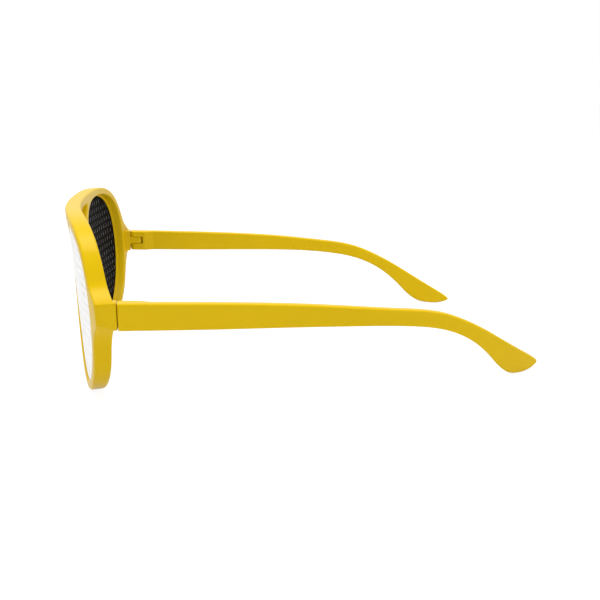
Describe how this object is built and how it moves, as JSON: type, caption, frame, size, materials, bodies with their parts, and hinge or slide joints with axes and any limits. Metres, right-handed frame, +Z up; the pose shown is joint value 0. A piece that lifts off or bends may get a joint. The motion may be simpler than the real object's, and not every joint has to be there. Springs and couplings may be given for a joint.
{
  "type": "pinhole glasses",
  "caption": "Double-bridge plastic glasses with perforated pinhole plates in place of lenses and two folding temples on moulded hinges.",
  "frame": {"origin": "under the middle of the open glasses, on the surface that the rims and the temple tips rest on", "axes": "+X to the wearer's left, +Y rearwards along the temples, +Z up; the lenses face -Y"},
  "size_m": [0.146, 0.159, 0.0573],
  "materials": {
    "frame_plastic": "smooth moulded yellow plastic, lightly glossy",
    "plate_black": "black perforated sheet with a white print on its front face",
    "pin_steel": "plain steel"
  },
  "bodies": {
    "front": {"frame_front": "frame_plastic", "pinhole_lens_left": "plate_black", "pinhole_lens_right": "plate_black"},
    "left_temple": {"temple_left": "frame_plastic", "hinge_pin_left": "pin_steel"},
    "right_temple": {"temple_right": "frame_plastic", "hinge_pin_right": "pin_steel"}
  },
  "joints": [
    {"name": "left_temple_fold", "type": "hinge", "parent": "front", "child": "left_temple", "pos_m": [0.0703, -0.0572, 0.0305], "axis": [0, 0, 1], "range_deg": [0, 84]},
    {"name": "right_temple_fold", "type": "hinge", "parent": "front", "child": "right_temple", "pos_m": [-0.0703, -0.0572, 0.0305], "axis": [0, 0, -1], "range_deg": [0, 78]}
  ]
}
